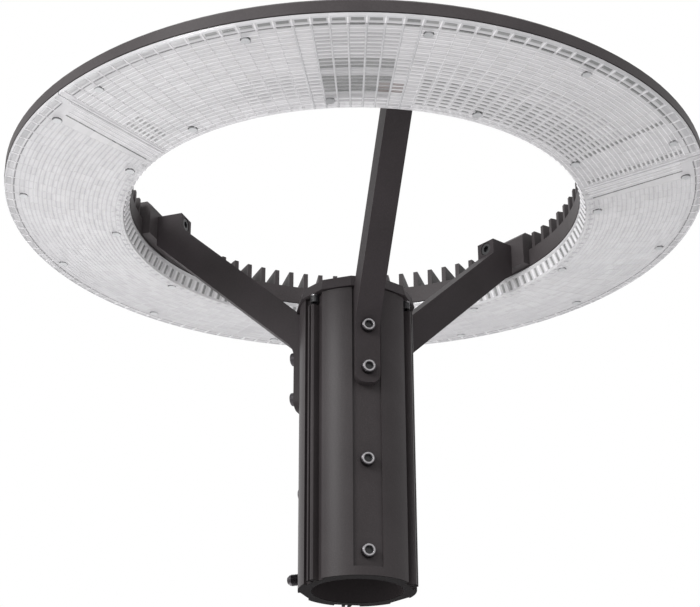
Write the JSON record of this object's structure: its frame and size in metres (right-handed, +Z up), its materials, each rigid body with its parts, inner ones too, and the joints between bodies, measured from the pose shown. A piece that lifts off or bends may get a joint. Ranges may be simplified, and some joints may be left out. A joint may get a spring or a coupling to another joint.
{
  "type": "post-top ring street lamp head",
  "caption": "Post-top street lamp head: a slip-over pole collar, raking arms and a finned cast ring that lights downwards through clear prismatic lens segments.",
  "frame": {"origin": "middle of the collar's bottom rim, which is also the middle of the bounding box's base", "axes": "+Z up along the collar's bore, -Y towards the front arm, +X to the right seen from that side"},
  "size_m": [0.6379, 0.638, 0.392],
  "materials": {
    "collar_paint": "satin charcoal powder coat on aluminium",
    "cap_paint": "satin charcoal powder coat on aluminium",
    "arm_paint": "satin charcoal powder coat on aluminium",
    "casting_paint": "fine-textured charcoal powder coat on die-cast aluminium",
    "gasket_rubber": "matt black silicone",
    "blackened_steel": "blackened steel",
    "stainless_steel": "plain stainless steel",
    "lens_acrylic": "clear moulded acrylic",
    "reflector_white": "matt white painted aluminium sheet",
    "board_white": "white solder mask on aluminium-core boards"
  },
  "bodies": {
    "root": {"slip_collar": "collar_paint", "collar_cap": "cap_paint", "cap_gasket": "gasket_rubber", "cap_screws": "blackened_steel", "cap_washers": "stainless_steel", "arm_front": "arm_paint", "arm_right": "arm_paint", "arm_left": "arm_paint", "foot_screws_front": "stainless_steel", "foot_screws_right": "stainless_steel", "foot_screws_left": "stainless_steel", "tenon_screws_front": "stainless_steel", "tenon_screws_right": "stainless_steel", "tenon_screws_left": "stainless_steel", "ring_casting": "casting_paint", "head_screw_front": "stainless_steel", "head_screw_right": "stainless_steel", "head_screw_left": "stainless_steel", "outer_gasket": "gasket_rubber", "inner_gasket": "gasket_rubber", "lens_front": "lens_acrylic", "lens_right": "lens_acrylic", "lens_left": "lens_acrylic", "lens_screws_front": "stainless_steel", "lens_screws_right": "stainless_steel", "lens_screws_left": "stainless_steel", "reflector_front": "reflector_white", "reflector_right": "reflector_white", "reflector_left": "reflector_white", "led_boards_front": "board_white", "led_boards_right": "board_white", "led_boards_left": "board_white"}
  },
  "joints": []
}
